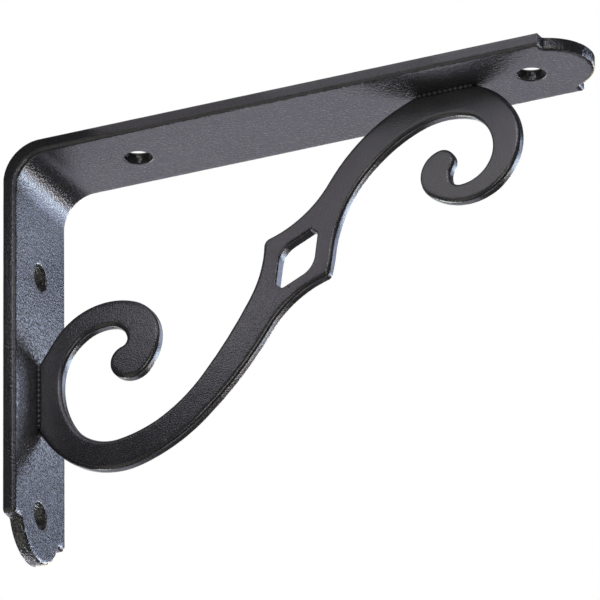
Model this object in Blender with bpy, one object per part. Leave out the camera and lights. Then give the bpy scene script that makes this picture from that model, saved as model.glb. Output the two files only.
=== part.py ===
# Shelf bracket: a steel strip bent to a right angle, with a cut scroll plate welded into the angle.
# X runs out from the wall, Z up, and Y across the strip. The origin is on the wall face, midway
# between the two wall screws, and the shelf lies on the upper arm. Sizes are in millimetres.

import bpy
import bmesh
from math import acos, asin, atan2, cos, pi, radians, sin, tan
from mathutils import Vector

MM = 0.001

# Strip: distances along an arm are measured from the outer corner of the angle
STRIP_WIDTH = 25.0
STRIP_THICKNESS = 3.0
BEND_INSIDE_RADIUS = 7.4
BEND_OUTSIDE_RADIUS = 8.6
SHELF_ARM_LENGTH = 132.5
SHELF_TONGUE_LENGTH = 7.0
SHELF_TONGUE_RADIUS = 10.4
WALL_ARM_LENGTH = 93.4
WALL_TONGUE_LENGTH = 7.1
WALL_TONGUE_RADIUS = 9.4
SHOULDER_CORNER_RADIUS = 1.4
NOTCH_RADIUS = 0.8
SCREW_HOLE_DIAMETER = 6.0
SHELF_SCREWS = (26.4, 118.6)
WALL_SCREWS = (26.6, 82.6)
SHELF_LEVEL = sum(WALL_SCREWS) / 2

# Scroll plate
PLATE_THICKNESS = 3.0
WELD_GAP = 0.3
RHOMBUS_CENTRE = Vector((64.05, -35.3))
RHOMBUS_LONG = 17.1
RHOMBUS_SHORT = 9.4
RHOMBUS_TILT = radians(53)
RHOMBUS_CUT_LENGTH = 13.9  # between the blunt ends
RHOMBUS_SIDE_RADIUS = 4.9
RHOMBUS_TIP_RADIUS = 0.5

# Edges and fineness
STRIP_EDGE_ROUNDING = 0.6
PLATE_EDGE_ROUNDING = 0.4
ROUNDING_SEGMENTS = 2
SHARP_ANGLE = radians(40)
ARC_STEP = radians(8)
HOLE_SIDES = 32
BEND_STEPS = 12
WELD_DISTANCE = 0.002
TINY = 0.001 * MM
FLAT_ANGLE = radians(1)

# Powder coat
COAT_COLOUR = (0.045, 0.045, 0.05, 1)
COAT_ROUGHNESS = 0.45

# The scroll's cut edge, anticlockwise as seen with the wall on the left. Each row ends one arc: x out
# from the wall, z up from the shelf's plane, and the arc's radius. A positive radius swells outward,
# a negative one is hollow, and 0 is a straight run.
WALL_FLAT = STRIP_THICKNESS + WELD_GAP
SHELF_FLAT = -STRIP_THICKNESS - WELD_GAP
BAR_UNDERSIDE = [(11.7, -72.7, 23.0), (26.6, -75.0, 18.9), (42.5, -66.5, 39.1), (57.7, -49.7, 81.5),
                 (63.5, -44.0, -21.7), (70.46, -40.81, -23.5), (71.54, -39.76, 1.5)]
SHELF_CURL_INSIDE = [(72.4, -35.3, 31.0), (81.6, -17.4, -29.7), (93.7, -10.0, -32.3),
                     (104.5, -10.3, -16.7), (109.5, -19.7, -8.2), (102.0, -25.6, -7.7),
                     (100.0, -24.1, -2.1), (100.4, -21.1, -3.6)]
SHELF_CURL_EYE = [(97.4, -16.7, 2.9), (95.0, -27.0, 5.9)]
SHELF_CURL_OUTSIDE = [(103.0, -29.9, 13.1), (114.6, -23.0, 12.6), (114.6, -10.4, 13.2),
                      (105.7, SHELF_FLAT, 15.1), (92.3, SHELF_FLAT, 0)]
BAR_TOPSIDE = [(77.0, -12.4, 38.3), (71.6, -18.9, 38.5), (57.85, -29.0, -25.1), (56.26, -31.0, 2.0)]
WALL_CURL_INSIDE = [(52.8, -42.2, -24.7), (41.7, -57.5, -102.6), (30.7, -66.1, -35.1),
                    (21.7, -68.7, -29.7), (11.4, -63.7, -10.9), (8.6, -52.1, -18.2),
                    (14.6, -43.0, -11.4), (20.8, -42.2, -9.1), (23.9, -45.4, -4.0),
                    (22.7, -47.2, -1.6)]
WALL_CURL_EYE = [(21.3, -53.8, 3.8), (28.8, -53.1, 5.3), (31.6, -46.6, 12.0)]
WALL_CURL_OUTSIDE = [(25.6, -37.1, 9.2), (6.6, -42.8, 16.2), (WALL_FLAT, -47.8, 0),
                     (WALL_FLAT, -63.4, 0)]
SCROLL_EDGE = (BAR_UNDERSIDE + SHELF_CURL_INSIDE + SHELF_CURL_EYE + SHELF_CURL_OUTSIDE + BAR_TOPSIDE
               + WALL_CURL_INSIDE + WALL_CURL_EYE + WALL_CURL_OUTSIDE)


def clear_scene():
    for item in list(bpy.data.objects):
        bpy.data.objects.remove(item, do_unlink=True)


def new_collection(name):
    collection = bpy.data.collections.new(name)
    bpy.context.scene.collection.children.link(collection)
    return collection


def arc_path(start, rows):
    """Points of a run of arcs, start included, from rows of arc end and radius."""
    points = [Vector(start)]
    for x, y, radius in rows:
        start = points[-1]
        end = Vector((x, y))
        if radius == 0:
            points.append(end)
            continue
        chord = end - start
        left = Vector((-chord.y, chord.x)).normalized()
        half_sweep = asin(chord.length / 2 / abs(radius))
        centre = (start + end) / 2 + left * radius * cos(half_sweep)
        first = atan2(start.y - centre.y, start.x - centre.x)
        sweep = 2 * half_sweep * (1 if radius > 0 else -1)
        steps = max(1, round(abs(sweep) / ARC_STEP))
        for step in range(1, steps + 1):
            angle = first + sweep * step / steps
            points.append(centre + Vector((cos(angle), sin(angle))) * abs(radius))
    return points


def circle(centre, diameter):
    turns = [2 * pi * side / HOLE_SIDES for side in range(HOLE_SIDES)]
    return [centre + Vector((cos(turn), sin(turn))) * diameter / 2 for turn in turns]


def plate(name, outlines, thickness, rounding, collection):
    """A flat plate with rounded edges, cut to closed outlines in its XY plane and centred on it."""
    curve = bpy.data.curves.new(name, "CURVE")
    curve.dimensions = "2D"
    curve.fill_mode = "BOTH"
    curve.extrude = (thickness / 2 - rounding) * MM
    curve.bevel_depth = rounding * MM
    curve.bevel_resolution = ROUNDING_SEGMENTS - 1
    curve.offset = -rounding * MM
    for points in outlines:
        spline = curve.splines.new("POLY")
        spline.points.add(len(points) - 1)
        for spline_point, point in zip(spline.points, points):
            spline_point.co = (point.x * MM, point.y * MM, 0, 1)
        spline.use_cyclic_u = True
    outline = bpy.data.objects.new(name + "_outline", curve)
    bpy.context.scene.collection.objects.link(outline)
    mesh = bpy.data.meshes.new_from_object(outline.evaluated_get(bpy.context.evaluated_depsgraph_get()))
    bpy.data.objects.remove(outline, do_unlink=True)
    edit = bmesh.new()
    edit.from_mesh(mesh)
    bmesh.ops.remove_doubles(edit, verts=edit.verts, dist=WELD_DISTANCE * MM)
    bmesh.ops.recalc_face_normals(edit, faces=edit.faces)
    edit.to_mesh(mesh)
    edit.free()
    solid = bpy.data.objects.new(name, mesh)
    collection.objects.link(solid)
    return solid


def arm_end(arm_length, tongue_length, tongue_radius):
    """The cut end of an arm: two shoulders and a round tongue, x along the arm and y across it."""
    half_width = STRIP_WIDTH / 2
    shoulder = arm_length - tongue_length
    centre = arm_length - tongue_radius
    root_angle = acos((shoulder - centre) / tongue_radius)
    notch_run = NOTCH_RADIUS * tan(root_angle / 2)
    notch_angle = root_angle - notch_run / tongue_radius
    notch = tongue_radius * sin(root_angle) + notch_run
    tongue_x = centre + tongue_radius * cos(notch_angle)
    tongue_y = tongue_radius * sin(notch_angle)
    corner_y = half_width - SHOULDER_CORNER_RADIUS
    return arc_path((shoulder - SHOULDER_CORNER_RADIUS, -half_width), [
        (shoulder, -corner_y, SHOULDER_CORNER_RADIUS),
        (shoulder, -notch, 0),
        (tongue_x, -tongue_y, -NOTCH_RADIUS),
        (tongue_x, tongue_y, tongue_radius),
        (shoulder, notch, -NOTCH_RADIUS),
        (shoulder, corner_y, 0),
        (shoulder - SHOULDER_CORNER_RADIUS, half_width, SHOULDER_CORNER_RADIUS),
    ])


# The strip is cut and drilled flat, then bent. The flat blank lies along X with the middle of the
# bend at 0, the shelf arm towards +X and the wall arm towards -X, and its upper face turns outward.
BEND_START = STRIP_THICKNESS + BEND_INSIDE_RADIUS
BEND_LENGTH = BEND_INSIDE_RADIUS * pi / 2
FLAT_SHIFT = BEND_LENGTH / 2 - BEND_START


def strip_blank(collection):
    shelf_end = arm_end(SHELF_ARM_LENGTH, SHELF_TONGUE_LENGTH, SHELF_TONGUE_RADIUS)
    wall_end = arm_end(WALL_ARM_LENGTH, WALL_TONGUE_LENGTH, WALL_TONGUE_RADIUS)
    shift = Vector((FLAT_SHIFT, 0))
    edge = [point + shift for point in shelf_end] + [-(point + shift) for point in wall_end]
    holes = [circle(Vector((distance, 0)) + shift, SCREW_HOLE_DIAMETER) for distance in SHELF_SCREWS]
    holes += [circle(-(Vector((distance, 0)) + shift), SCREW_HOLE_DIAMETER) for distance in WALL_SCREWS]
    return plate("angle_strap", [edge] + holes, STRIP_THICKNESS, STRIP_EDGE_ROUNDING, collection)


def outside_of_bend(share):
    """A point on the strip's outer face, a share of the way round the bend: out from the wall, and up."""
    straight = BEND_START - BEND_OUTSIDE_RADIUS
    whole = 2 * straight + BEND_OUTSIDE_RADIUS * pi / 2
    run = share * whole
    if run < straight:
        return Vector((0, run - BEND_START))
    if run > whole - straight:
        return Vector((BEND_START - (whole - run), 0))
    turn = (run - straight) / BEND_OUTSIDE_RADIUS
    return Vector((1 - cos(turn), sin(turn) - 1)) * BEND_OUTSIDE_RADIUS


def inside_of_bend(share):
    turn = share * pi / 2
    start = Vector((BEND_START, -BEND_START))
    return start + Vector((-cos(turn), sin(turn))) * BEND_INSIDE_RADIUS


def bent(along, height):
    """Where a point of the blank goes: along the blank, and height above its middle plane."""
    depth = height / STRIP_THICKNESS + 0.5
    if along >= BEND_LENGTH / 2:
        return Vector((along - FLAT_SHIFT, (depth - 1) * STRIP_THICKNESS))
    if along <= -BEND_LENGTH / 2:
        return Vector(((1 - depth) * STRIP_THICKNESS, along + FLAT_SHIFT))
    share = along / BEND_LENGTH + 0.5
    return inside_of_bend(share).lerp(outside_of_bend(share), depth)


def merge_across_bend(edit):
    """Leave one clean face between each two cuts on the flats of the bend."""
    def on_bend(edge):
        return all(abs(vertex.co.x) < BEND_LENGTH / 2 * MM + TINY for vertex in edge.verts)

    def slanting(edge):
        return abs(edge.verts[0].co.x - edge.verts[1].co.x) > TINY

    def in_a_flat(edge):
        return edge.calc_face_angle() < FLAT_ANGLE

    needless = [edge for edge in edit.edges if on_bend(edge) and slanting(edge) and in_a_flat(edge)]
    bmesh.ops.dissolve_edges(edit, edges=needless, use_verts=True)


def bend_strip(strip):
    """Cut the blank across in steps over the length of the bend, then turn every point to its place."""
    edit = bmesh.new()
    edit.from_mesh(strip.data)
    for step in range(BEND_STEPS + 1):
        along = (step / BEND_STEPS - 0.5) * BEND_LENGTH
        everything = edit.verts[:] + edit.edges[:] + edit.faces[:]
        bmesh.ops.bisect_plane(edit, geom=everything, plane_co=(along * MM, 0, 0), plane_no=(1, 0, 0))
    merge_across_bend(edit)
    for vertex in edit.verts:
        place = bent(vertex.co.x / MM, vertex.co.z / MM)
        vertex.co.x = place.x * MM
        vertex.co.z = place.y * MM
    edit.to_mesh(strip.data)
    edit.free()


def rounded(corners):
    """Points of a closed outline, anticlockwise, from its corners and the radius of each."""
    rows = []
    for index, (corner, radius) in enumerate(corners):
        to_last = (corners[index - 1][0] - corner).normalized()
        to_next = (corners[(index + 1) % len(corners)][0] - corner).normalized()
        run = radius / tan(to_last.angle(to_next) / 2)
        first = corner + to_last * run
        last = corner + to_next * run
        rows += [(first.x, first.y, 0), (last.x, last.y, radius)]
    return arc_path(rows[-1][:2], rows)[1:]


def rhombus():
    """The waist's hole: a rhombus with round side corners, its two tips cut off blunt."""
    along = Vector((cos(RHOMBUS_TILT), sin(RHOMBUS_TILT)))
    across = Vector((-along.y, along.x))
    tip = along * RHOMBUS_CUT_LENGTH / 2
    half_tip = across * RHOMBUS_SHORT / 2 * (1 - RHOMBUS_CUT_LENGTH / RHOMBUS_LONG)
    side = across * RHOMBUS_SHORT / 2
    places = [(tip - half_tip, RHOMBUS_TIP_RADIUS), (tip + half_tip, RHOMBUS_TIP_RADIUS),
              (side, RHOMBUS_SIDE_RADIUS)]
    places += [(-place, radius) for place, radius in places]
    return rounded([(RHOMBUS_CENTRE + place, radius) for place, radius in places])


def powder_coat(name):
    material = bpy.data.materials.new(name)
    material.use_nodes = True
    shader = material.node_tree.nodes["Principled BSDF"]
    shader.inputs["Base Color"].default_value = COAT_COLOUR
    shader.inputs["Roughness"].default_value = COAT_ROUGHNESS
    shader.inputs["Metallic"].default_value = 0.0
    return material


def finish(solid, material_name):
    solid.data.shade_smooth()
    solid.data.set_sharp_from_angle(angle=SHARP_ANGLE)
    solid.data.materials.append(powder_coat(material_name))


def build():
    clear_scene()
    bracket = new_collection("shelf_bracket")
    corner = bpy.data.objects.new("outer_corner", None)
    corner.location.z = SHELF_LEVEL * MM
    bracket.objects.link(corner)

    angle_strap = strip_blank(bracket)
    bend_strip(angle_strap)
    angle_strap.parent = corner
    finish(angle_strap, "powder_coat_strap")

    scroll_edge = arc_path(SCROLL_EDGE[-1][:2], SCROLL_EDGE)[1:]
    scroll_plate = plate("scroll_plate", [scroll_edge, rhombus()], PLATE_THICKNESS, PLATE_EDGE_ROUNDING,
                         bracket)
    scroll_plate.rotation_euler.x = pi / 2
    scroll_plate.parent = corner
    finish(scroll_plate, "powder_coat_scroll")


build()
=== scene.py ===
from math import acos, asin, atan2, cos, pi, radians, sin, tan

import bmesh
import bpy
from mathutils import Matrix, Vector


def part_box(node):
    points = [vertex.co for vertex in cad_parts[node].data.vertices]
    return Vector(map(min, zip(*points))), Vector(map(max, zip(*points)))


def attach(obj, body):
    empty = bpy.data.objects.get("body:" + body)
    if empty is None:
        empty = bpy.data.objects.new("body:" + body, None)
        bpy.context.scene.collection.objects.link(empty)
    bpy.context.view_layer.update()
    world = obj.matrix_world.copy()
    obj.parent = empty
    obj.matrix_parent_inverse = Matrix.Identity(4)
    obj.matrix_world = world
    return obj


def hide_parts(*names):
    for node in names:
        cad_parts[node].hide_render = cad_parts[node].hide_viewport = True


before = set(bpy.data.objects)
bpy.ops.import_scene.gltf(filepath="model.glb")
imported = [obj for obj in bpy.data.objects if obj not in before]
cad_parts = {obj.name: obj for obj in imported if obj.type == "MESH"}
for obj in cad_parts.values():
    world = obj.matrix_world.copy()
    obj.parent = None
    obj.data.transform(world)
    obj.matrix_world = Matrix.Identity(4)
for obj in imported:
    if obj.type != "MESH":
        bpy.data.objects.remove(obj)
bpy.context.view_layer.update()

mm = 0.001

# Sizes are in millimetres. The frame's origin is on the wall, midway between the wall screws, and the
# outlines below are drawn from the angle's outer corner, which is the top of the strap's box.
strapLow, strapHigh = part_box("angle_strap")
outerCorner = Vector((strapLow.x, 0, strapHigh.z))

# helpers for both pieces

tiny = 0.002 * mm               # places nearer than this are the same
arcStep = radians(3)
lineAngle = radians(0.1)        # points and lines that turn a flat by less than this are dropped
rimAngle = radians(60)          # edges sharper than this are rims
smoothAngle = radians(35)
rimSegments = 5
flatNormal = 0.999              # faces whose normals are this near to Z lie flat
waveDetail = 1
waveMiddle = 1.4                # over 1, so the coat only sinks in and the piece stays inside its CAD box


def makeActive(thing):
    bpy.ops.object.select_all(action="DESELECT")
    thing.select_set(True)
    bpy.context.view_layer.objects.active = thing


def arcRun(start, rows):
    # Each row is the end of a line or an arc: x, y and the radius. The radius is 0 for a line, above 0
    # for a turn to the left and below 0 for a turn to the right.
    points = [Vector(start)]
    for x, y, radius in rows:
        begin = points[-1]
        end = Vector((x, y))
        if radius == 0:
            points.append(end)
            continue
        chord = end - begin
        left = Vector((-chord.y, chord.x)).normalized()
        halfSweep = asin(chord.length / 2 / abs(radius))
        centre = (begin + end) / 2 + left * radius * cos(halfSweep)
        first = atan2(begin.y - centre.y, begin.x - centre.x)
        sweep = 2 * halfSweep * (1 if radius > 0 else -1)
        steps = max(1, round(abs(sweep) / arcStep))
        for step in range(1, steps + 1):
            angle = first + sweep * step / steps
            points.append(centre + Vector((cos(angle), sin(angle))) * abs(radius))
    return points


def selectWhere(piece, test):
    # In edit mode: selects the edges that pass the test, and nothing else
    bpy.ops.mesh.select_mode(type="EDGE")
    bpy.ops.mesh.select_all(action="DESELECT")
    edit = bmesh.from_edit_mesh(piece.data)
    for edge in edit.edges:
        if test(edge):
            edge.select_set(True)
    bmesh.update_edit_mesh(piece.data)


def curveToMesh(name, curve):
    piece = bpy.data.objects.new(name, curve)
    bpy.context.scene.collection.objects.link(piece)
    makeActive(piece)
    bpy.ops.object.convert(target="MESH")
    return bpy.context.object


def flatPiece(name, outlines, thickness):
    # A plate cut flat, lying in XY with its middle at z = 0
    curve = bpy.data.curves.new(name, "CURVE")
    curve.dimensions = "2D"
    curve.fill_mode = "BOTH"
    for points in outlines:
        spline = curve.splines.new("POLY")
        spline.points.add(len(points) - 1)
        for splinePoint, point in zip(spline.points, points):
            splinePoint.co = (point.x * mm, point.y * mm, 0, 1)
        spline.use_cyclic_u = True
    piece = curveToMesh(name, curve)
    bpy.ops.object.mode_set(mode="EDIT")
    bpy.ops.mesh.select_all(action="SELECT")
    bpy.ops.mesh.remove_doubles(threshold=tiny)
    bpy.ops.mesh.dissolve_limited(angle_limit=lineAngle)
    bpy.ops.mesh.select_all(action="SELECT")
    bpy.ops.transform.translate(value=(0, 0, -thickness * mm / 2))
    bpy.ops.mesh.extrude_region_move(TRANSFORM_OT_translate={"value": (0, 0, thickness * mm)})
    bpy.ops.mesh.select_all(action="SELECT")
    bpy.ops.mesh.normals_make_consistent(inside=False)
    bpy.ops.object.mode_set(mode="OBJECT")
    return piece


def roundRims(piece, level, rounding, holes, reach, ofHoles=False):
    # Rounds the rims at one height: those within reach of a hole's centre, or all the others
    def onRim(edge):
        if not edge.is_manifold or edge.calc_face_angle() < rimAngle:
            return False
        middle = (edge.verts[0].co + edge.verts[1].co) / 2
        if any(abs(vertex.co.z - level * mm) > tiny for vertex in edge.verts):
            return False
        inHole = any((middle.xy - centre * mm).length < reach * mm for centre in holes)
        return inHole == ofHoles

    makeActive(piece)
    bpy.ops.object.mode_set(mode="EDIT")
    selectWhere(piece, onRim)
    bpy.ops.mesh.bevel(offset=rounding * mm, segments=rimSegments, profile=0.5, affect="EDGES",
                       clamp_overlap=False)
    bpy.ops.object.mode_set(mode="OBJECT")


def spread(low, high, step):
    # Even places from low to high, both counted, about one step apart
    count = max(1, round((high - low) / step))
    return [low + (high - low) * i / count for i in range(count + 1)]


def cutAcross(piece, normal, places):
    makeActive(piece)
    bpy.ops.object.mode_set(mode="EDIT")
    for place in places:
        bpy.ops.mesh.select_all(action="SELECT")
        bpy.ops.mesh.bisect(plane_co=Vector(normal) * place * mm, plane_no=normal, threshold=tiny)
    bpy.ops.object.mode_set(mode="OBJECT")


def clearSlants(piece):
    # The grid's own lines run along X or Y, so any other line on the flats is left from cutting the outline
    def isSlant(edge):
        if not edge.is_manifold or any(abs(face.normal.z) < flatNormal for face in edge.link_faces):
            return False
        run = edge.verts[0].co - edge.verts[1].co
        return abs(run.x) > tiny and abs(run.y) > tiny

    makeActive(piece)
    bpy.ops.object.mode_set(mode="EDIT")
    selectWhere(piece, isSlant)
    bpy.ops.mesh.dissolve_edges(use_verts=True)
    bpy.ops.object.mode_set(mode="OBJECT")


def displace(piece, name, size, detail, depth, middle, group=""):
    # Moves the surface along its normals, by the depth times how far noise of this size is over the middle
    noise = bpy.data.textures.new(name, type="CLOUDS")
    noise.noise_scale = size * mm
    noise.noise_depth = detail
    makeActive(piece)
    modifier = piece.modifiers.new(name, "DISPLACE")
    modifier.texture = noise
    modifier.texture_coords = "LOCAL"
    modifier.mid_level = middle
    modifier.strength = depth * mm
    modifier.vertex_group = group
    bpy.ops.object.modifier_apply(modifier=name)


def soften(piece, size, depth):
    displace(piece, "coatWaves", size, waveDetail, depth, waveMiddle)


# strap: cut and rounded flat, with X along it and the bend's middle at the origin, and then bent

strap = {
    "width": 25.0,
    "thickness": 3.0,
    "bendInsideRadius": 7.4,
    "bendOutsideRadius": 8.6,
    # Lengths and screws are measured along each arm from the outer corner
    "shelfArm": {
        "length": 132.5,
        "tongue": 7.0,
        "tongueRadius": 10.4,
        "shoulderRadius": 0,
        "screws": (26.4, 118.6),
    },
    "wallArm": {
        "length": 93.4,
        "tongue": 7.1,
        "tongueRadius": 9.4,
        "shoulderRadius": 1.2,
        "screws": (26.6, 82.6),
    },
    "cornerRounding": 0.25,         # the upright corners of the shelf arm's square shoulders
    "cornerSegments": 3,
    "notchRadius": 0.8,
    "holeDiameter": 6.0,
    "holeSides": 64,
    "holeTurn": 0.01,               # radians for each millimetre along the strap
    "holeReach": 6.0,               # rims nearer than this to a hole's centre are the hole's
    "insideRounding": 1.0,          # the rolled rims towards the angle's inside
    "outsideRounding": 0.4,         # the rims towards the wall and the shelf
    "holeRounding": 0.35,
    "holeBreakOut": 0.9,            # the punch leaves the shelf holes wider on top
    "gridStep": 1.0,
    "bendStep": 0.4,
    "tornLevels": (-0.7, -0.3, 0.1, 0.5),
    "tornSize": 0.8,                # where the punch tore the steel, under the coat
    "tornDetail": 2,
    "tornMiddle": 1.0,
    "tornHole": 0.30,
    "tornHoleReach": 1.2,           # from the middle of the thickness
    "tornTongue": 0.16,
    "tornTongueStart": 0.1,         # beyond the shoulders
    "tornNormal": 0.5,              # surfaces whose normals rise less than this are the strap's edge
    "waveSize": 3.2,                # soft unevenness under the coat
    "waveDepth": 0.035,
}


def ringPoints(centre):
    # Each ring starts at its own angle, so that no corners of two rings lie on one line along the strap
    start = centre.x * strap["holeTurn"]
    turns = [start + 2 * pi * side / strap["holeSides"] for side in range(strap["holeSides"])]
    return [centre + Vector((cos(turn), sin(turn))) * strap["holeDiameter"] / 2 for turn in turns]


def tear(piece, name, depth, test):
    # Dents the surface where the test passes
    group = piece.vertex_groups.new(name=name)
    group.add([vertex.index for vertex in piece.data.vertices if test(vertex)], 1.0, "REPLACE")
    displace(piece, name, strap["tornSize"], strap["tornDetail"], depth, strap["tornMiddle"], name)
    piece.vertex_groups.clear()


def roundCorners(piece, shoulder):
    # Softens the upright corners of the shoulders at one place along the strap
    def isUpright(edge):
        first, last = edge.verts[0].co, edge.verts[1].co
        if (first.xy - last.xy).length > tiny or edge.calc_face_angle(0) < rimAngle:
            return False
        return abs(first.x - shoulder * mm) < tiny and abs(abs(first.y) - strap["width"] / 2 * mm) < tiny

    makeActive(piece)
    bpy.ops.object.mode_set(mode="EDIT")
    selectWhere(piece, isUpright)
    bpy.ops.mesh.bevel(offset=strap["cornerRounding"] * mm, segments=strap["cornerSegments"], profile=0.5,
                       affect="EDGES")
    bpy.ops.object.mode_set(mode="OBJECT")


def armEnd(arm):
    # Two shoulders, with a round tongue between two small round notches
    halfWidth = strap["width"] / 2
    corner = arm["shoulderRadius"]
    shoulder = arm["length"] - arm["tongue"]
    centre = arm["length"] - arm["tongueRadius"]
    rootAngle = acos((shoulder - centre) / arm["tongueRadius"])
    notchRun = strap["notchRadius"] * tan(rootAngle / 2)
    notchAngle = rootAngle - notchRun / arm["tongueRadius"]
    notch = arm["tongueRadius"] * sin(rootAngle) + notchRun
    tongueX = centre + arm["tongueRadius"] * cos(notchAngle)
    tongueY = arm["tongueRadius"] * sin(notchAngle)
    rows = [
        (shoulder, -notch, 0),
        (tongueX, -tongueY, -strap["notchRadius"]),
        (tongueX, tongueY, arm["tongueRadius"]),
        (shoulder, notch, -strap["notchRadius"]),
        (shoulder, halfWidth - corner, 0),
    ]
    if corner > 0:
        rows = [(shoulder, -halfWidth + corner, corner)] + rows + [(shoulder - corner, halfWidth, corner)]
    return arcRun((shoulder - corner, -halfWidth), rows)


bendStart = strap["thickness"] + strap["bendInsideRadius"]      # from the outer corner, along each arm
bendLength = strap["bendInsideRadius"] * pi / 2
flatShift = bendLength / 2 - bendStart                          # from a place on an arm to its flat place


def outsideOfBend(share):
    # The bend's outside is an arc with a short straight run at each end
    radius = strap["bendOutsideRadius"]
    straight = bendStart - radius
    whole = 2 * straight + radius * pi / 2
    run = share * whole
    if run < straight:
        return Vector((0, run - bendStart))
    if run > whole - straight:
        return Vector((bendStart - (whole - run), 0))
    turn = (run - straight) / radius
    return Vector((1 - cos(turn), sin(turn) - 1)) * radius


def insideOfBend(share):
    turn = share * pi / 2
    return Vector((bendStart, -bendStart)) + Vector((-cos(turn), sin(turn))) * strap["bendInsideRadius"]


def bent(along, height):
    # Where a place of the flat strap goes. Its depth is 0 on the inside of the angle and 1 on the outside.
    depth = height / strap["thickness"] + 0.5
    if along >= bendLength / 2:
        return Vector((along - flatShift, (depth - 1) * strap["thickness"]))
    if along <= -bendLength / 2:
        return Vector(((1 - depth) * strap["thickness"], along + flatShift))
    share = along / bendLength + 0.5
    return insideOfBend(share).lerp(outsideOfBend(share), depth)


def makeStrap():
    shelfArm = strap["shelfArm"]
    wallArm = strap["wallArm"]
    shift = Vector((flatShift, 0))
    edge = [point + shift for point in armEnd(shelfArm)]
    edge += [-(point + shift) for point in armEnd(wallArm)]
    shelfHoles = [Vector((distance, 0)) + shift for distance in shelfArm["screws"]]
    wallHoles = [-(Vector((distance, 0)) + shift) for distance in wallArm["screws"]]
    holes = shelfHoles + wallHoles
    rings = [ringPoints(centre) for centre in holes]
    piece = flatPiece("bentStrap", [edge] + rings, strap["thickness"])

    outer = strap["thickness"] / 2
    reach = strap["holeReach"]
    roundRims(piece, outer, strap["outsideRounding"], holes, reach)
    roundRims(piece, -outer, strap["insideRounding"], holes, reach)
    roundRims(piece, outer, strap["holeBreakOut"], shelfHoles, reach, ofHoles=True)
    roundRims(piece, outer, strap["holeRounding"], wallHoles, reach, ofHoles=True)
    roundRims(piece, -outer, strap["holeRounding"], holes, reach, ofHoles=True)
    roundCorners(piece, shelfArm["length"] - shelfArm["tongue"] + flatShift)

    # A grid that is finer in the bend, and cuts through the thickness for the torn walls
    low = -(wallArm["length"] + flatShift)
    high = shelfArm["length"] + flatShift
    halfBend = bendLength / 2
    halfWidth = strap["width"] / 2
    step = strap["gridStep"]
    places = spread(low, -halfBend, step)[1:]
    places += spread(-halfBend, halfBend, strap["bendStep"])[1:]
    places += spread(halfBend, high, step)[1:-1]
    cutAcross(piece, (1, 0, 0), places)
    cutAcross(piece, (0, 1, 0), spread(-halfWidth, halfWidth, step)[1:-1])
    clearSlants(piece)
    cutAcross(piece, (0, 0, 1), strap["tornLevels"])

    holeRadius = strap["holeDiameter"] / 2 * mm + tiny
    wallEnd = -(wallArm["length"] - wallArm["tongue"] + flatShift) * mm
    shelfEnd = (shelfArm["length"] - shelfArm["tongue"] + flatShift) * mm
    gap = strap["tornTongueStart"] * mm

    def inShelfHole(vertex):
        place = vertex.co
        if abs(place.z) >= strap["tornHoleReach"] * mm:
            return False
        return any((place.xy - centre * mm).length < holeRadius for centre in shelfHoles)

    def onTongueEdge(vertex):
        onEdge = abs(vertex.normal.z) < strap["tornNormal"]
        return onEdge and not wallEnd - gap < vertex.co.x < shelfEnd + gap

    tear(piece, "tornHoles", strap["tornHole"], inShelfHole)
    tear(piece, "tornTongues", strap["tornTongue"], onTongueEdge)
    for vertex in piece.data.vertices:
        place = bent(vertex.co.x / mm, vertex.co.z / mm)
        vertex.co = outerCorner + Vector((place.x * mm, vertex.co.y, place.y * mm))
    soften(piece, strap["waveSize"], strap["waveDepth"])
    for vertex in piece.data.vertices:
        vertex.co.z = min(vertex.co.z, outerCorner.z)
    makeActive(piece)
    bpy.ops.object.shade_smooth_by_angle(angle=smoothAngle)
    return piece


bentStrap = makeStrap()
print("strap made:", len(bentStrap.data.polygons), "faces")

# scroll plate: cut and rounded flat, and then stood on edge under the shelf arm

scroll = {
    "thickness": 3.0,
    "rounding": 0.9,
    "holeRounding": 0.5,
    "gridStep": 1.0,
    "waveSize": 3.2,
    "waveDepth": 0.03,
    "cadGap": 0.3,                  # between the CAD plate's welded flats and the strap
    "gapTaken": 0.25,               # of that gap, which these flats close but for a hairline
    "rhombusCentre": (64.05, -35.3),
    "rhombusLong": 17.1,            # from tip to tip, before the tips are cut off blunt
    "rhombusShort": 9.4,
    "rhombusTilt": 53,              # degrees
    "rhombusCutLength": 13.9,
    "rhombusSideRadius": 4.9,
    "rhombusTipRadius": 0.5,
    "rhombusReach": 7.1,            # rims nearer than this to the rhombus's centre are its own
}

wallFlat = strap["thickness"] + scroll["cadGap"] - scroll["gapTaken"]
shelfFlat = -wallFlat
barUnderside = [(11.7, -72.7, 23.0), (26.6, -75.0, 18.9), (42.5, -66.5, 39.1), (57.7, -49.7, 81.5),
                (63.5, -44.0, -21.7), (70.46, -40.81, -23.5), (71.54, -39.76, 1.5)]
shelfCurlInside = [(72.4, -35.3, 31.0), (81.6, -17.4, -29.7), (93.7, -10.0, -32.3),
                   (104.5, -10.3, -16.7), (109.5, -19.7, -8.2), (102.0, -25.6, -7.7),
                   (100.0, -24.1, -2.1), (100.4, -21.1, -3.6)]
shelfCurlEye = [(97.4, -16.7, 2.9), (95.0, -27.0, 5.9)]
shelfCurlOutside = [(103.0, -29.9, 13.1), (114.6, -23.0, 12.6), (114.6, -10.4, 13.2),
                    (105.7, shelfFlat, 15.1), (92.3, shelfFlat, 0)]
barTopside = [(77.0, -12.4, 38.3), (71.6, -18.9, 38.5), (57.85, -29.0, -25.1), (56.26, -31.0, 2.0)]
wallCurlInside = [(52.8, -42.2, -24.7), (41.7, -57.5, -102.6), (30.7, -66.1, -35.1),
                  (21.7, -68.7, -29.7), (11.4, -63.7, -10.9), (8.6, -52.1, -18.2),
                  (14.6, -43.0, -11.4), (20.8, -42.2, -9.1), (23.9, -45.4, -4.0),
                  (22.7, -47.2, -1.6)]
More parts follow.
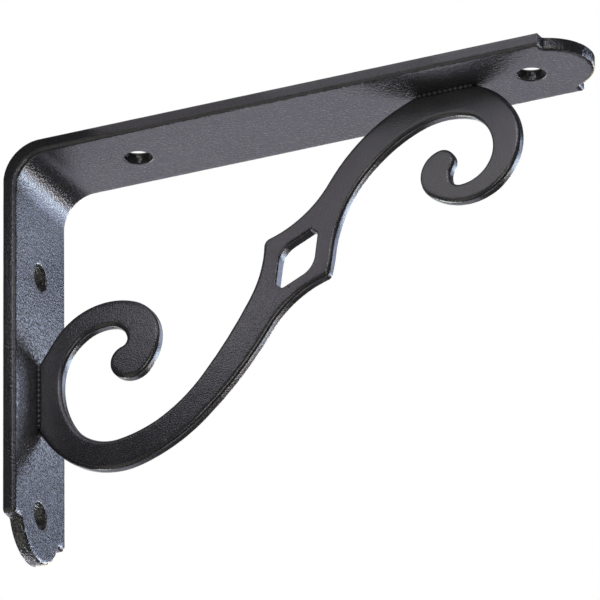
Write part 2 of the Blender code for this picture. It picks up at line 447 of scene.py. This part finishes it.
wallCurlEye = [(21.3, -53.8, 3.8), (28.8, -53.1, 5.3), (31.6, -46.6, 12.0)]
wallCurlOutside = [(25.6, -37.1, 9.2), (6.6, -42.8, 16.2), (wallFlat, -47.8, 0), (wallFlat, -63.4, 0)]
scrollEdge = (barUnderside + shelfCurlInside + shelfCurlEye + shelfCurlOutside + barTopside
              + wallCurlInside + wallCurlEye + wallCurlOutside)


def roundedOutline(corners):
    # A closed outline from corners, each rounded with its own radius
    rows = []
    for index, (corner, radius) in enumerate(corners):
        toLast = (corners[index - 1][0] - corner).normalized()
        toNext = (corners[(index + 1) % len(corners)][0] - corner).normalized()
        run = radius / tan(toLast.angle(toNext) / 2)
        first = corner + toLast * run
        last = corner + toNext * run
        rows += [(first.x, first.y, 0), (last.x, last.y, radius)]
    return arcRun(rows[-1][:2], rows)[1:]


def rhombusPoints():
    tilt = radians(scroll["rhombusTilt"])
    centre = Vector(scroll["rhombusCentre"])
    along = Vector((cos(tilt), sin(tilt)))
    side = Vector((-along.y, along.x)) * scroll["rhombusShort"] / 2
    tip = along * scroll["rhombusCutLength"] / 2
    halfTip = side * (1 - scroll["rhombusCutLength"] / scroll["rhombusLong"])
    places = [(tip - halfTip, scroll["rhombusTipRadius"]), (tip + halfTip, scroll["rhombusTipRadius"]),
              (side, scroll["rhombusSideRadius"])]
    places += [(-place, radius) for place, radius in places]
    return roundedOutline([(centre + place, radius) for place, radius in places])


def makeScroll():
    edge = arcRun(scrollEdge[-1][:2], scrollEdge)[1:]
    piece = flatPiece("scrollPlate", [edge, rhombusPoints()], scroll["thickness"])
    waist = [Vector(scroll["rhombusCentre"])]
    reach = scroll["rhombusReach"]
    for level in (scroll["thickness"] / 2, -scroll["thickness"] / 2):
        roundRims(piece, level, scroll["rounding"], waist, reach)
        roundRims(piece, level, scroll["holeRounding"], waist, reach, ofHoles=True)

    xs = [point.x for point in edge]
    ys = [point.y for point in edge]
    cutAcross(piece, (1, 0, 0), spread(min(xs), max(xs), scroll["gridStep"])[1:-1])
    cutAcross(piece, (0, 1, 0), spread(min(ys), max(ys), scroll["gridStep"])[1:-1])
    clearSlants(piece)

    makeActive(piece)
    bpy.ops.object.mode_set(mode="EDIT")
    bpy.ops.mesh.select_all(action="SELECT")
    # With no window transform.rotate turns the other way, so this takes Y up to Z
    bpy.ops.transform.rotate(value=-pi / 2, orient_axis="X", center_override=(0, 0, 0))
    bpy.ops.transform.translate(value=outerCorner)
    bpy.ops.object.mode_set(mode="OBJECT")
    soften(piece, scroll["waveSize"], scroll["waveDepth"])
    return piece


weld = {
    "radius": 0.16,                 # where the bead is thinnest
    "ripple": 0.32,
    "pitch": 1.2,
    "endShare": 0.35,               # the bead begins with this share of its thickness
    "endGrowth": 1.3,               # and gains this share with each millimetre
    "pointStep": 0.2,
    "bevelSteps": 3,
    "offPlate": 1.45,               # from the plate's middle
    "offStrap": 0.22,               # from the strap's face
    "onWall": (-8.4, 6.5),          # from the frame's origin, upwards
    "onShelf": (92.6, 105.4),       # from the wall
}


def weldBead(name, start, end):
    # A fine rippled seam along the corner between the plate and the strap
    curve = bpy.data.curves.new(name, "CURVE")
    curve.dimensions = "3D"
    curve.bevel_depth = mm          # so that a point's radius is in millimetres
    curve.bevel_resolution = weld["bevelSteps"]
    curve.use_fill_caps = True
    length = (end - start).length
    count = round(length / weld["pointStep"])
    spline = curve.splines.new("POLY")
    spline.points.add(count)
    for index, point in enumerate(spline.points):
        run = length * index / count
        place = start.lerp(end, index / count) * mm
        point.co = (place.x, place.y, place.z, 1)
        ends = min(1, weld["endShare"] + min(run, length - run) * weld["endGrowth"])
        point.radius = (weld["radius"] + weld["ripple"] * abs(sin(pi * run / weld["pitch"]))) * ends
    bead = curveToMesh(name, curve)
    bpy.ops.object.mode_set(mode="EDIT")
    bpy.ops.mesh.select_all(action="SELECT")
    bpy.ops.mesh.remove_doubles(threshold=tiny)
    bpy.ops.object.mode_set(mode="OBJECT")
    return bead


def addWelds(piece):
    beads = []
    wallX = strap["thickness"] + weld["offStrap"]
    shelfZ = outerCorner.z / mm - strap["thickness"] - weld["offStrap"]
    wallLow, wallHigh = weld["onWall"]
    shelfNear, shelfFar = weld["onShelf"]
    for side, across in (("Near", -weld["offPlate"]), ("Far", weld["offPlate"])):
        start = Vector((wallX, across, wallLow))
        end = Vector((wallX, across, wallHigh))
        beads.append(weldBead("wallWeld" + side, start, end))
        start = Vector((shelfNear, across, shelfZ))
        end = Vector((shelfFar, across, shelfZ))
        beads.append(weldBead("shelfWeld" + side, start, end))
    makeActive(piece)
    for bead in beads:
        bead.select_set(True)
    bpy.ops.object.join()
    bpy.ops.object.mode_set(mode="EDIT")
    bpy.ops.mesh.select_all(action="SELECT")
    bpy.ops.mesh.normals_make_consistent(inside=False)
    bpy.ops.object.mode_set(mode="OBJECT")


scrollPlate = makeScroll()
addWelds(scrollPlate)
makeActive(scrollPlate)
bpy.ops.object.shade_smooth_by_angle(angle=smoothAngle)
print("scroll plate made:", len(scrollPlate.data.polygons), "faces")

# coat


class Shade:
    def __init__(self, tree, socket):
        self.tree = tree
        self.socket = socket

    def node(self, kind, settings=None, inputs=None, output=0):
        made = self.tree.nodes.new(kind)
        for name, value in (settings or {}).items():
            setattr(made, name, value)
        for name, value in (inputs or {}).items():
            if isinstance(value, Shade):
                self.tree.links.new(value.socket, made.inputs[name])
            else:
                made.inputs[name].default_value = value
        return Shade(self.tree, made.outputs[output])

    def maths(self, operation, first, second):
        return self.node("ShaderNodeMath", {"operation": operation}, {0: first, 1: second})

    def __add__(self, other):
        return self.maths("ADD", self, other)

    __radd__ = __add__

    def __sub__(self, other):
        return self.maths("SUBTRACT", self, other)

    def __rsub__(self, other):
        return self.maths("SUBTRACT", other, self)

    def __mul__(self, other):
        return self.maths("MULTIPLY", self, other)

    __rmul__ = __mul__

    def clamped(self, low, high):
        # 0 up to low, and 1 from high on
        return self.node("ShaderNodeMapRange", None, {"Value": self, "From Min": low, "From Max": high})

    def noise(self, size, detail):
        # Noise over this place, with lumps of about this size
        return self.node("ShaderNodeTexNoise", None,
                         {"Vector": self, "Scale": 1 / (size * mm), "Detail": detail})

    def feed(self, name, shader):
        self.tree.links.new(self.socket, shader.inputs[name])


coats = {
    "strapCoat": {"grainSize": 0.50, "grainDepth": 0.030, "wallGrain": 0.026, "speckle": 0.9},
    "scrollCoat": {"grainSize": 0.36, "grainDepth": 0.011, "wallGrain": 0.0, "speckle": 0.0},
}
coat = {
    "darkColour": (0.016, 0.016, 0.018, 1),
    "lightColour": (0.032, 0.032, 0.036, 1),
    "roughness": 0.22,
    "roughnessSwing": 0.06,
    "noiseMiddle": 0.5,
    "depthGain": 4,                 # noise stays near its middle, so the depths are scaled up
    "grainDetail": 1.5,
    "fineSize": 0.16,
    "fineDetail": 1.0,
    "fineDepth": 0.004,
    "patchSize": 6,
    "patchDetail": 2.0,
    "grainShare": 0.6,              # the light and dark mottling is part grain and part larger patches
    "patchShare": 0.4,
    "mottleEdges": (0.3, 0.7),
    "speckleSize": 0.40,            # glossier flecks where the coat lies thicker, on the wall arm
    "speckleDetail": 0.0,
    "speckleStretch": (1, 0.6, 1),
    "speckleEdges": (0.46, 0.62),
    # In the frame, in metres
    "smoothEdge": (-0.0122, -0.0114),   # the wall arm's near edge stays smooth up to here, across the strap
    "coarseBelow": (0.036, 0.052),      # the grain grows from this height on the bend down the wall arm
}


def powderCoat(name):
    look = coats[name]
    material = bpy.data.materials.new(name)
    material.use_nodes = True
    tree = material.node_tree
    shader = tree.nodes["Principled BSDF"]
    place = Shade(tree, tree.nodes.new("ShaderNodeTexCoord").outputs["Object"])
    grain = place.noise(look["grainSize"], coat["grainDetail"])
    fine = place.noise(coat["fineSize"], coat["fineDetail"])
    patches = place.noise(coat["patchSize"], coat["patchDetail"])
    across = place.node("ShaderNodeSeparateXYZ", None, {"Vector": place}, 1)
    upwards = place.node("ShaderNodeSeparateXYZ", None, {"Vector": place}, 2)
    onWall = (1 - upwards.clamped(*coat["coarseBelow"])) * across.clamped(*coat["smoothEdge"])

    gain = mm * coat["depthGain"]
    depth = onWall * (look["wallGrain"] * gain) + look["grainDepth"] * gain
    height = grain * depth + fine * (coat["fineDepth"] * gain)
    bump = place.node("ShaderNodeBump", None, {"Height": height, "Strength": 1.0, "Distance": 1.0})
    bump.feed("Normal", shader)

    mottle = (grain * coat["grainShare"] + patches * coat["patchShare"]).clamped(*coat["mottleEdges"])
    # A colour mix takes its two colours at inputs 6 and 7, and gives output 2
    colour = place.node("ShaderNodeMix", {"data_type": "RGBA"},
                        {"Factor": mottle, 6: coat["darkColour"], 7: coat["lightColour"]}, 2)
    colour.feed("Base Color", shader)
    rough = (fine - coat["noiseMiddle"]) * coat["roughnessSwing"] + coat["roughness"]
    rough.feed("Roughness", shader)

    if look["speckle"] > 0:
        stretched = place.node("ShaderNodeVectorMath", {"operation": "MULTIPLY"},
                               {0: place, 1: coat["speckleStretch"]})
        flecks = stretched.noise(coat["speckleSize"], coat["speckleDetail"])
        (flecks.clamped(*coat["speckleEdges"]) * onWall * look["speckle"]).feed("Coat Weight", shader)
        shader.inputs["Coat Roughness"].default_value = coat["roughness"]
    return material


bentStrap.data.materials.append(powderCoat("strapCoat"))
scrollPlate.data.materials.append(powderCoat("scrollCoat"))
for piece, node, slot in ((bentStrap, "angle_strap", "powder_coat_strap"),
                          (scrollPlate, "scroll_plate", "powder_coat_scroll")):
    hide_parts(node)
    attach(piece, "root")
print("coat applied")

# camera

view = {
    "azimuth": 24.43,
    "elevation": -25.11,
    "roll": -0.686,
    "place": (912.65, -1867.91, -951.34),
    "lens": 641.2,
    "sensor": 36,
    "clip": (0.01, 30),             # metres
}


def makeCamera():
    azimuth = radians(view["azimuth"])
    elevation = radians(view["elevation"])
    back = Vector((sin(azimuth) * cos(elevation), -cos(azimuth) * cos(elevation), sin(elevation)))
    right = Vector((cos(azimuth), sin(azimuth), 0))
    roll = Matrix.Rotation(radians(view["roll"]), 3, "Z")
    turn = Matrix((right, back.cross(right), back)).transposed() @ roll
    data = bpy.data.cameras.new("camera")
    data.sensor_width = view["sensor"]
    data.lens = view["lens"]
    data.clip_start, data.clip_end = view["clip"]
    camera = bpy.data.objects.new("camera", data)
    camera.matrix_world = Matrix.Translation(Vector(view["place"]) * mm) @ turn.to_4x4()
    bpy.context.scene.collection.objects.link(camera)
    bpy.context.scene.camera = camera


makeCamera()
print("camera placed")

# studio

studio = {
    "floorLevel": -4.0,             # metres
    "floorSize": 16.0,              # metres
    "floorColour": (0.8, 0.79, 0.77, 1),
    "floorRoughness": 0.9,
    "floorGlow": 0.62,
    "backdrop": (1, 1, 1, 1),
    # Large soft lights far off: direction, half width in degrees, brightness in red, green and blue
    "farLights": {
        "windowRight": ((0.71, 0.65, 0.27), 9.9, (4.93, 5.33, 6.98)),
        "windowMiddle": ((0.68, 0.72, -0.14), 9.9, (10.45, 12.01, 14.65)),
        "windowLeft": ((0.49, 0.87, 0.0), 9.9, (8.8, 10.66, 13.52)),
        "windowEdge": ((0.2, 0.98, 0.0), 9.9, (11.21, 10.81, 11.34)),
        "windowFoot": ((0.63, 0.67, -0.4), 9.9, (13.69, 12.66, 12.88)),
        "windowHighEdge": ((0.27, 0.95, 0.13), 9.9, (3.04, 3.25, 3.95)),
        "windowHighLeft": ((0.47, 0.84, 0.27), 9.9, (1.95, 2.22, 3.21)),
        "windowHigh": ((0.6, 0.75, 0.27), 9.9, (1.5, 1.8, 2.58)),
        "wallHigh": ((-0.18, 0.97, 0.19), 19.3, (3.2, 2.84, 2.12)),
        "wallMiddle": ((-0.51, 0.86, 0.03), 19.3, (1.28, 1.31, 1.36)),
        "wallRight": ((-0.3, 0.93, -0.23), 19.3, (0.56, 0.54, 0.65)),
        "wallLow": ((-0.33, 0.69, -0.65), 19.3, (1.85, 1.8, 2.14)),
        "wallLeft": ((-0.71, 0.44, -0.55), 19.3, (11.16, 11.64, 11.52)),
        "groundRight": ((0.33, 0.41, -0.85), 19.3, (2.2, 2.15, 2.25)),
        "frontLeft": ((-0.4, -0.88, -0.25), 19.3, (1.1, 1.05, 0.9)),
        "frontRight": ((0.45, -0.84, -0.31), 19.3, (4.5, 4.5, 4.0)),
        "glint": ((0.25, -0.87, 0.42), 9.0, (10.5, 10.5, 11.0)),
        "groundFront": ((-0.37, -0.42, -0.82), 30.0, (1.1, 1.06, 1.0)),
        "ceiling": ((0.0, 0.1, 1.0), 60.0, (0.6, 0.6, 0.62)),
        "backFill": ((-0.95, 0.0, 0.1), 40.0, (0.7, 0.7, 0.75)),
    },
    # Pale cards just above the shelf arm, lit side down: left, right, near and far side, and brightness
    "cardHeight": 56,
    "cards": {
        "overWall": ((-21, 20, -110, -72), (3.9, 3.8, 4.3)),
        "near": ((20, 60, -35, -13), (0.78, 0.73, 0.81)),
        "front": ((20, 60, -120, -35), (1.5, 1.38, 1.59)),
        "nearMiddle": ((60, 100, -35, -13), (1.13, 1.09, 1.2)),
        "frontMiddle": ((60, 100, -120, -35), (1.81, 1.75, 1.78)),
        "nearTip": ((100, 150, -35, -13), (1.48, 1.44, 1.62)),
        "frontTip": ((100, 150, -120, -35), (2.7, 2.48, 2.83)),
        "behind": ((-12, 40, 13, 45), (0.46, 0.5, 0.62)),
        "farBehind": ((40, 100, 45, 140), (1.59, 1.76, 2.09)),
    },
}


def makeFloor():
    bpy.ops.object.select_all(action="DESELECT")
    bpy.ops.mesh.primitive_plane_add(size=studio["floorSize"], location=(0, 0, studio["floorLevel"]))
    floor = bpy.context.object
    floor.name = "studioFloor"
    material = bpy.data.materials.new("floorPaper")
    material.use_nodes = True
    shader = material.node_tree.nodes["Principled BSDF"]
    shader.inputs["Base Color"].default_value = studio["floorColour"]
    shader.inputs["Roughness"].default_value = studio["floorRoughness"]
    shader.inputs["Emission Color"].default_value = studio["floorColour"]
    shader.inputs["Emission Strength"].default_value = studio["floorGlow"]
    floor.data.materials.append(material)
    # The paper is there for the camera alone, so it doesn't stand in the way of the low lights
    floor.visible_diffuse = False
    floor.visible_glossy = False
    floor.visible_shadow = False


def makeWorld():
    world = bpy.data.worlds.new("studioWorld")
    world.use_nodes = True
    bpy.context.scene.world = world
    tree = world.node_tree
    back = tree.nodes["Background"]
    place = Shade(tree, tree.nodes.new("ShaderNodeTexCoord").outputs["Generated"])
    whole = None
    for direction, halfWidth, brightness in studio["farLights"].values():
        toLight = Vector(direction).normalized()
        facing = place.node("ShaderNodeVectorMath", {"operation": "DOT_PRODUCT"}, {0: place, 1: toLight}, 1)
        lobe = place.node("ShaderNodeMapRange", {"interpolation_type": "SMOOTHSTEP"},
                          {"Value": facing, "From Min": cos(radians(halfWidth)), "From Max": 1.0})
        glow = place.node("ShaderNodeVectorMath", {"operation": "SCALE"}, {0: brightness, "Scale": lobe})
        if whole is None:
            whole = glow
        else:
            whole = place.node("ShaderNodeVectorMath", {"operation": "ADD"}, {0: whole, 1: glow})
    whole.feed("Color", back)
    # The camera itself sees a plain white backdrop
    backdrop = place.node("ShaderNodeBackground", None, {"Color": studio["backdrop"]})
    seen = Shade(tree, tree.nodes.new("ShaderNodeLightPath").outputs["Is Camera Ray"])
    mixed = place.node("ShaderNodeMixShader", None, {0: seen, 1: Shade(tree, back.outputs[0]), 2: backdrop})
    mixed.feed("Surface", tree.nodes["World Output"])


def makeCards():
    for name, ((left, right, near, far), brightness) in studio["cards"].items():
        strength = max(brightness)
        data = bpy.data.lights.new(name, "AREA")
        data.shape = "RECTANGLE"
        data.size = (right - left) * mm
        data.size_y = (far - near) * mm
        data.color = [part / strength for part in brightness]
        data.energy = strength * pi * data.size * data.size_y
        card = bpy.data.objects.new(name, data)
        card.location = ((left + right) / 2 * mm, (near + far) / 2 * mm, studio["cardHeight"] * mm)
        card.visible_camera = False
        bpy.context.scene.collection.objects.link(card)


makeFloor()
makeWorld()
makeCards()
bpy.context.scene.view_settings.view_transform = "Standard"
print("studio lit")
